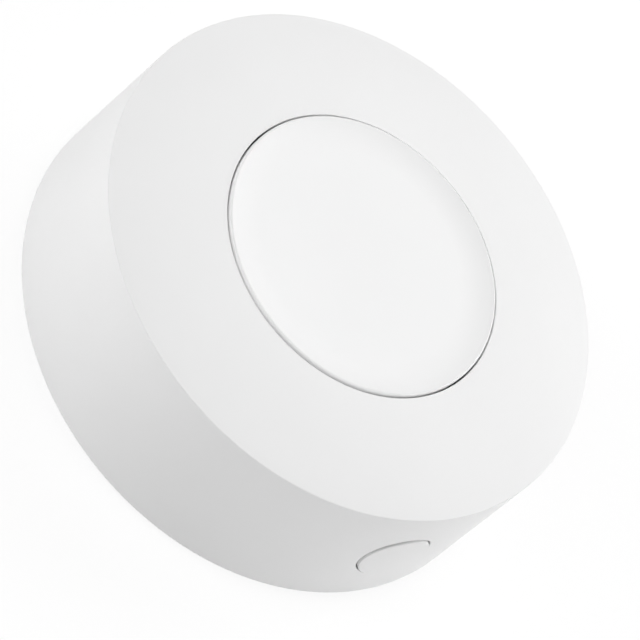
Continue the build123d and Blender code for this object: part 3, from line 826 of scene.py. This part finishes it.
@dataclass
class PushCap:
    """Dished cap: flat middle, concave edge, narrow proud rim, skirt with snap arms, ribs and post."""

    heights: Heights
    dish_flat_radius: float = 0.00842
    dish_depth: float = 0.000375
    edge_round: float = 0.00016
    thickness: float = 0.00135
    skirt_thickness: float = 0.0009
    inner_round: float = 0.0003
    skirt_bottom: float = 0.01017
    hook_reach: float = 0.00065
    hook_height: float = 0.00065
    hook_lead: float = 0.00035
    slot_over: float = 0.0005
    hook_sweep: float = 16.0
    slot_sweep: float = 4.0
    hook_count: int = 3
    first_hook: float = 30.0
    post_radius: float = 0.0015
    post_bottom: float = 0.01195
    rib_half: float = 0.00035
    rib_depth: float = 0.0005
    rib_start_share: float = 0.8
    rib_turn: float = 30.0
    rib_count: int = 6
    overlap_share: float = 0.25
    middle_radius: float = 0.0003
    flat_rings: int = 15
    dish_points: int = 30
    side_rings: int = 6
    side_start: float = 0.0004
    side_end: float = 0.0002
    arc_steps: int = 48

    def __post_init__(self) -> None:
        """Work out the radii and heights that follow from the sizes.

        A rounding r between an upright wall and a rim that climbs at twice the angle c leaves the corner
        r (tan(45 degrees + c) - 1) above the rounded top.
        """
        self.radius = self.heights.cap_radius
        self.dish = self.heights.rim_top - self.dish_depth
        climb = math.atan2(self.dish_depth, self.radius - self.dish_flat_radius)
        self.rim = self.heights.rim_top + self.edge_round * (math.tan(math.pi / 4 + climb) - 1)
        self.under = self.dish - self.thickness
        self.inner = self.radius - self.skirt_thickness
        self.hook_top = self.skirt_bottom + self.hook_height
        self.slot_top = self.hook_top + self.slot_over

    def body(self) -> Skin:
        """Cap down to the top of the slots: a profile from the middle of the dish round to the underside."""
        dish = tangent_arc((self.dish_flat_radius, self.dish), 0.0, (self.radius, self.rim), self.dish_points)
        flat = np.linspace(self.middle_radius, self.dish_flat_radius, self.flat_rings + 1)[:-1]
        side = np.linspace(self.rim - self.side_start, self.slot_top + self.side_end, self.side_rings)
        corners = [(radius, self.dish, 0.0) for radius in flat]
        corners += [(radius, height, 0.0) for radius, height in dish[:-2]]
        corners += [(self.radius, self.rim, self.edge_round)]
        corners += [(self.radius, height, 0.0) for height in side]
        corners += [
            (self.radius, self.slot_top, 0.0),
            (self.inner, self.slot_top, 0.0),
            (self.inner, self.under, self.inner_round),
            (self.inner / 2, self.under, 0.0),
            (flat[0], self.under, 0.0),
        ]
        return skin_rings(revolved(rounded_path(corners)), Ends.POLES)

    def skirt(self) -> list[Skin]:
        """Skirt below the slots' tops: three long arcs, and three arms with hooks."""
        overlap = self.slot_over * self.overlap_share
        wall = oblong(self.inner, self.radius, self.skirt_bottom, self.slot_top + overlap)
        hook = np.array([
            (self.inner, self.skirt_bottom), (self.radius, self.skirt_bottom),
            (self.radius + self.hook_reach, self.skirt_bottom + self.hook_lead),
            (self.radius + self.hook_reach, self.hook_top), (self.radius, self.hook_top),
            (self.radius, self.slot_top + overlap), (self.inner, self.slot_top + overlap),
        ])
        between = FULL_CIRCLE / self.hook_count - self.hook_sweep - 2 * self.slot_sweep
        found = []
        for angle in spread(self.hook_count, self.first_hook):
            found.append(sector(hook, angle - self.hook_sweep / 2, self.hook_sweep))
            found.append(sector(wall, angle + self.hook_sweep / 2 + self.slot_sweep, between, self.arc_steps))
        return found

    def underside(self) -> list[Skin]:
        """Post that pushes the switch, and the ribs between it and the skirt."""
        middle = self.dish - self.thickness / 2
        post_profile = np.array([(self.post_radius, self.post_bottom), (self.post_radius, middle)])
        post = skin_rings(revolved(post_profile, SMALL_COLUMNS), Ends.POLES)
        reach = (self.inner + self.radius) / 2
        start = self.post_radius * self.rib_start_share
        rib = block((start, -self.rib_half, self.under - self.rib_depth), (reach, self.rib_half, middle))
        angles = spread(self.rib_count, self.first_hook + self.rib_turn)
        return [post] + [rib.turned(math.radians(angle)) for angle in angles]

    def build(self, workshop: Workshop) -> None:
        """Make the piece."""
        parts = [self.body()] + self.skirt() + self.underside()
        workshop.piece("dished_cap", Skin.joined(parts), "button_cap")


@dataclass
class SideKey:
    """Round key whose face follows the wall, with its flange and stem inside."""

    housing: Housing
    proud: float = 0.00012
    edge_round: float = 0.0001
    flange_radius: float = 0.00312
    flange_outer: float = 0.01825
    flange_inner: float = 0.0176
    stem_radius: float = 0.0012
    stem_tip: float = 0.01715
    columns: int = 128
    middle_radius: float = 0.0002
    face_rings: int = 14
    edge_rings: int = 6

    def build(self, workshop: Workshop) -> None:
        """Make the piece: rings seen along +Y, each set on a cylinder about the push axis."""
        housing = self.housing
        radius = housing.key_radius
        angle = np.linspace(0, TURN, self.columns, endpoint=False)
        rings = []

        def ring(reach: float, carrier: float, depth: float = 0.0) -> None:
            """Circle of a reach round the key's axis, on a cylinder of the carrier's radius."""
            x, z = reach * np.cos(angle), housing.key_level + reach * np.sin(angle)
            rings.append((x, depth - np.sqrt(carrier**2 - x**2), z))

        face = housing.wall_radius(housing.key_level) + self.proud
        for reach in np.linspace(self.middle_radius, radius - self.edge_round, self.face_rings):
            ring(reach, face)
        for bend in np.linspace(0, math.pi / 2, self.edge_rings + 1)[1:]:
            inset, depth = self.edge_round * (1 - math.sin(bend)), self.edge_round * (1 - math.cos(bend))
            ring(radius - inset, face, depth)
        ring(radius, face, 2 * self.edge_round)
        ring(radius, self.flange_outer)
        ring(self.flange_radius, self.flange_outer)
        ring(self.flange_radius, self.flange_inner)
        ring(self.stem_radius, self.flange_inner)
        x, z = self.stem_radius * np.cos(angle), housing.key_level + self.stem_radius * np.sin(angle)
        rings.append((x, np.full(len(angle), -self.stem_tip), z))
        skin = skin_rings(np.array(rings).transpose(0, 2, 1), Ends.POLES)
        workshop.piece("side_key", skin, "pairing_key")


@dataclass
class RearPlate:
    """Rear plate with the tape's recess, a coin slot, the seal's collar and three lugs."""

    heights: Heights
    radius: float = 0.0182
    edge_round: float = 0.0002
    recess_depth: float = 0.0004
    recess_outer: float = 0.0156
    recess_inner: float = 0.0079
    thickness: float = 0.0012
    collar_outer: float = 0.01715
    collar_inner: float = 0.01615
    collar_top: float = 0.0028
    slot_half_length: float = 0.006
    slot_half_width: float = 0.0009
    slot_depth: float = 0.0007
    small_round: float = 0.0001
    ramp_share: float = 0.9
    ramp_steps: Triple = (0.1, 0.4, 0.7)
    slot_middle: float = 0.3
    round_steps: int = 4
    lug_outer: float = 0.0181
    lug_bottom: float = 0.0039
    lug_top: float = 0.0047
    lug_sweep: float = 14.0
    set_in: float = 0.00002

    def slot_outline(self, angle: np.ndarray) -> np.ndarray:
        """Distance from the middle to the edge of the slot, a rectangle, in each direction."""
        across, along = np.maximum(np.abs([np.sin(angle), np.cos(angle)]), 1e-9)
        return np.minimum(self.slot_half_length / along, self.slot_half_width / across)

    def build(self, workshop: Workshop) -> None:
        """Make the piece: rings from the slot's floor over the rear face and edge to the front face."""
        rear = self.heights.rear
        front = rear + self.thickness
        angle = np.linspace(-math.pi, math.pi, COLUMNS, endpoint=False)
        slot_floor = rear + self.slot_depth
        edge = self.slot_outline(angle)
        ramp_end = self.recess_inner * self.ramp_share
        reaches = [(self.slot_middle * edge, slot_floor), (edge, slot_floor), (edge, rear)]
        reaches += [((1 - share) * edge + share * ramp_end, rear) for share in self.ramp_steps]
        rings = [
            (reach * np.cos(angle), reach * np.sin(angle), np.full(len(angle), height))
            for reach, height in reaches
        ]
        recess = rear + self.recess_depth
        corners = [
            (ramp_end, rear, 0.0),
            (self.recess_inner, rear, self.small_round),
            (self.recess_inner, recess, self.small_round),
            (self.recess_outer, recess, self.small_round),
            (self.recess_outer, rear, self.small_round),
            (self.radius, rear, self.edge_round),
            (self.radius, front, self.small_round),
            (self.collar_outer, front, 0.0),
            (self.collar_outer, self.collar_top, self.small_round),
            (self.collar_inner, self.collar_top, self.small_round),
            (self.collar_inner, front, 0.0),
            (self.collar_inner / 2, front, 0.0),
        ]
        turned = revolved(rounded_path(corners, self.round_steps))
        plate = skin_rings(np.concatenate([np.array(rings).transpose(0, 2, 1), turned]), Ends.POLES)
        inner, outer = self.collar_inner + self.set_in, self.collar_outer - self.set_in
        lug = np.array([
            (inner, front), (outer, front), (outer, self.lug_bottom), (self.lug_outer, self.lug_bottom),
            (self.lug_outer, self.lug_top), (inner, self.lug_top),
        ])
        lugs = [
            sector(lug, angle - self.lug_sweep / 2, self.lug_sweep) for angle in self.heights.lock_angles()
        ]
        workshop.piece("rear_plate", Skin.joined([plate] + lugs), "base_plate")


@dataclass
class TapeRing:
    """Ring of foam tape with softly cut edges."""

    inner: float = 0.008
    outer: float = 0.0155
    thickness: float = 0.0008
    cut_round: float = 0.00008
    round_steps: int = 4

    def build(self, workshop: Workshop) -> None:
        """Make the piece."""
        corners = [
            (self.inner, 0.0, self.cut_round), (self.outer, 0.0, self.cut_round),
            (self.outer, self.thickness, 0.0), (self.inner, self.thickness, 0.0),
        ]
        skin = skin_rings(revolved(rounded_path(corners, self.round_steps)), Ends.LOOP)
        workshop.piece("tape_ring", skin, "adhesive_pad")


@dataclass(frozen=True)
class Lamp:
    """Round soft lamp that faces the button."""

    azimuth: float
    elevation: float
    power: float
    distance: float = 0.6
    width: float = 0.4

    def build(self, target: Vector) -> None:
        """Make the lamp: azimuth in degrees from +X about +Z, elevation in degrees above the floor."""
        turn, rise = math.radians(self.azimuth), math.radians(self.elevation)
        away = Vector((math.cos(turn) * math.cos(rise), math.sin(turn) * math.cos(rise), math.sin(rise)))
        data = bpy.data.lights.new(f"lamp_{self.azimuth:.0f}_{self.elevation:.0f}", "AREA")
        data.shape = "DISK"
        data.size = self.width
        data.energy = self.power
        thing = bpy.data.objects.new(data.name, data)
        thing.location = target + away * self.distance
        thing.rotation_mode = "QUATERNION"
        thing.rotation_quaternion = away.to_track_quat("Z", "Y")
        thing.visible_camera = False
        bpy.context.scene.collection.objects.link(thing)


LAMPS = (
    Lamp(120.0, 3.0, 0.36),
    Lamp(150.0, 25.0, 1.42),
    Lamp(-60.0, 25.0, 1.68),
    Lamp(0.0, 25.0, 1.2),
    Lamp(30.0, 25.0, 0.38),
    Lamp(180.0, 50.0, 1.25),
    Lamp(30.0, 50.0, 1.13),
)
WORLD_STRENGTH = 0.0


@dataclass(frozen=True)
class Studio:
    """Camera at the photograph's angle, soft lamps, pale world and floor."""

    eye: Triple = (-0.23730, -0.12796, 0.29592)
    forward: Triple = (0.6015, 0.3199, -0.7320)
    roll: float = math.radians(50.22)
    lens: float = 312.51
    sensor: float = 36.0
    near: float = 0.01
    far: float = 10.0
    floor_half: float = 0.45
    floor_gap: float = 0.00005
    floor_colour: Triple = (0.9, 0.9, 0.9)
    cloud_size: float = 0.2
    cloud_share: float = 0.995
    shadow_share: float = 0.15
    glow: float = 1.03
    backdrop: float = 1.2

    def camera(self) -> None:
        """Camera rolled clockwise, so that the push axis leans to the upper right of the picture."""
        ahead = Vector(self.forward).normalized()
        level = ahead.cross(Vector((0, 0, 1))).normalized()
        upright = level.cross(ahead)
        up = math.cos(self.roll) * upright - math.sin(self.roll) * level
        right = math.sin(self.roll) * upright + math.cos(self.roll) * level
        data = bpy.data.cameras.new("camera")
        data.lens = self.lens
        data.sensor_width = self.sensor
        data.clip_start, data.clip_end = self.near, self.far
        thing = bpy.data.objects.new("camera", data)
        turn = Matrix((right, up, -ahead)).transposed().to_4x4()
        thing.matrix_world = Matrix.Translation(Vector(self.eye)) @ turn
        bpy.context.scene.collection.objects.link(thing)
        bpy.context.scene.camera = thing

    def floor(self) -> None:
        """Wide floor that shows pure white to the camera apart from a share of the button's shadow."""
        half, down = self.floor_half, -self.floor_gap
        mesh = bpy.data.meshes.new("floor")
        square = [(-half, -half, down), (half, -half, down), (half, half, down), (-half, half, down)]
        mesh.from_pydata(square, [], [(0, 1, 2, 3)])
        thing = bpy.data.objects.new("floor", mesh)
        bpy.context.scene.collection.objects.link(thing)
        graph = Graph("floor_white")
        lit = graph.add("ShaderNodeBsdfDiffuse")
        cloud = graph.noise(self.cloud_size)
        darker = scaled(self.floor_colour, self.cloud_share)
        graph.join(graph.between(cloud, darker, self.floor_colour), lit.inputs["Color"])
        glow = graph.add("ShaderNodeEmission")
        glow.inputs["Strength"].default_value = self.glow
        seen = graph.add("ShaderNodeLightPath")
        either = graph.add("ShaderNodeMath", operation="MAXIMUM")
        graph.join(seen.outputs["Is Camera Ray"], either.inputs[0])
        graph.join(seen.outputs["Is Glossy Ray"], either.inputs[1])
        share = graph.add("ShaderNodeMath", operation="MULTIPLY")
        share.inputs[1].default_value = 1 - self.shadow_share
        graph.join(either.outputs[0], share.inputs[0])
        mix = graph.add("ShaderNodeMixShader")
        graph.join(share.outputs[0], mix.inputs[0])
        graph.join(lit.outputs[0], mix.inputs[1])
        graph.join(glow.outputs[0], mix.inputs[2])
        graph.join(mix.outputs[0], graph.output.inputs["Surface"])
        mesh.materials.append(graph.material)
        thing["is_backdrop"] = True

    def world(self) -> None:
        """World that shows white to the camera and lights evenly by its own strength."""
        world = bpy.data.worlds.new("studio")
        world.use_nodes = True
        nodes, links = world.node_tree.nodes, world.node_tree.links
        nodes.clear()
        output = nodes.new("ShaderNodeOutputWorld")
        seen = nodes.new("ShaderNodeLightPath")
        even = nodes.new("ShaderNodeBackground")
        even.inputs["Strength"].default_value = WORLD_STRENGTH
        white = nodes.new("ShaderNodeBackground")
        white.inputs["Strength"].default_value = self.backdrop
        mix = nodes.new("ShaderNodeMixShader")
        links.new(seen.outputs["Is Camera Ray"], mix.inputs[0])
        links.new(even.outputs[0], mix.inputs[1])
        links.new(white.outputs[0], mix.inputs[2])
        links.new(mix.outputs[0], output.inputs["Surface"])
        for backdrop in (even, white):
            backdrop.inputs["Color"].default_value = (1.0, 1.0, 1.0, 1.0)
        bpy.context.scene.world = world

    def build(self, target: Vector) -> None:
        """Set up everything round the button."""
        bpy.context.scene.view_settings.view_transform = "Standard"
        self.camera()
        self.floor()
        self.world()
        for lamp in LAMPS:
            lamp.build(target)


def corners() -> list[list[float]]:
    """Lowest and highest corner of the shown object, in metres."""
    return [list(corner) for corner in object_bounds()]


def main() -> None:
    """Build the sub-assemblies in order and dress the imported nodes."""
    logging.basicConfig(level=logging.INFO, format="%(name)s: %(message)s")
    packed_box = corners()
    middle = (Vector(packed_box[0]) + Vector(packed_box[1])) / 2
    Studio().build(middle)
    workshop = Workshop(Palette().materials())
    heights = Heights()
    housing = Housing(heights)
    housing.build(workshop)
    PushCap(heights).build(workshop)
    SideKey(housing).build(workshop)
    RearPlate(heights).build(workshop)
    TapeRing().build(workshop)
    workshop.dress_nodes()
    workshop.soften_nodes()


if __name__ == "__main__":
    main()
